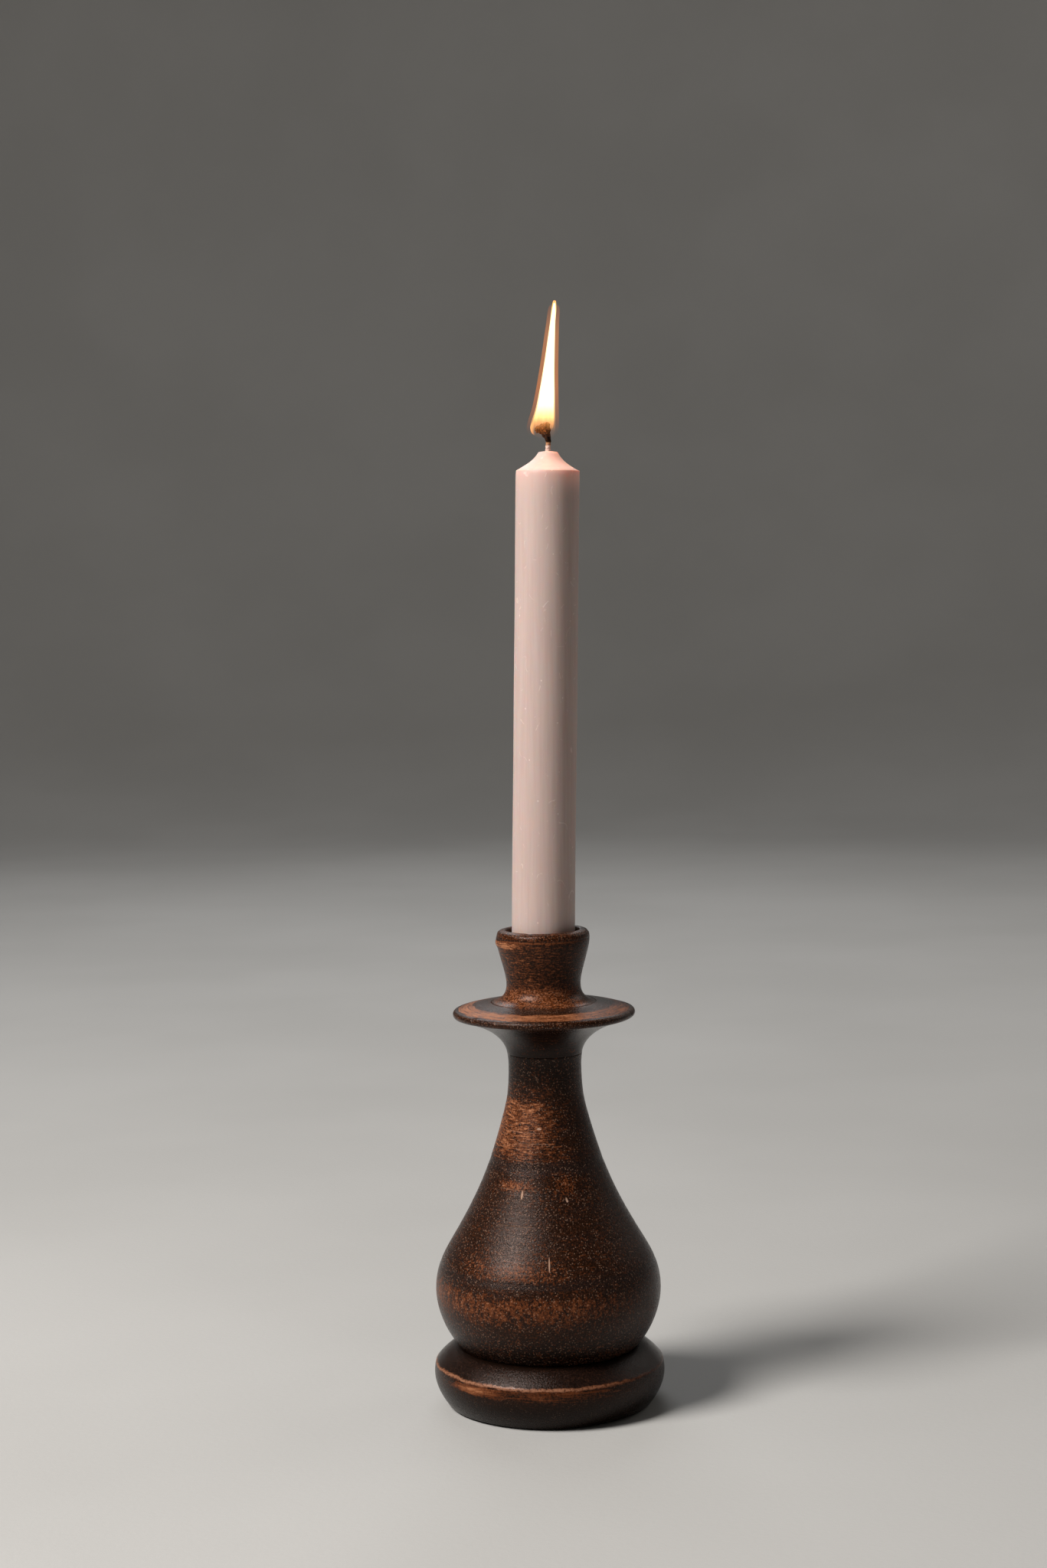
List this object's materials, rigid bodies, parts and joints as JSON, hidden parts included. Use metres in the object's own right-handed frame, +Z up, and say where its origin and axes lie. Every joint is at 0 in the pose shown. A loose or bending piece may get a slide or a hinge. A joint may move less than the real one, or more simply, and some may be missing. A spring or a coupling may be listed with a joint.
{
  "type": "wooden candlestick",
  "caption": "Turned wooden candlestick: disc foot, pear-shaped body, saucer drip pan and a cup holding a lit dinner candle.",
  "frame": {"origin": "centre of the felt pad's underside, on the surface the stick stands on", "axes": "+Z up along the turning axis, +X towards the side the candle leans to"},
  "size_m": [0.0808, 0.0808, 0.3832],
  "materials": {
    "stained_wood": "satin",
    "stained_wood_red": "satin",
    "screw_steel": "satin",
    "felt": "matte",
    "wax": "satin",
    "wick_cotton": "matte",
    "flame_gas": "matte"
  },
  "bodies": {
    "stick": {"foot": "stained_wood", "body": "stained_wood", "drip_pan": "stained_wood", "candle_cup": "stained_wood_red", "foot_screw": "screw_steel", "felt_pad": "felt"},
    "candle": {"candle": "wax", "wick": "wick_cotton", "flame": "flame_gas"}
  },
  "joints": [
    {"name": "candle_lift", "type": "slide", "parent": "stick", "child": "candle", "axis": [0.0253, 0, 0.9997], "range_m": [0, 0.03]}
  ]
}
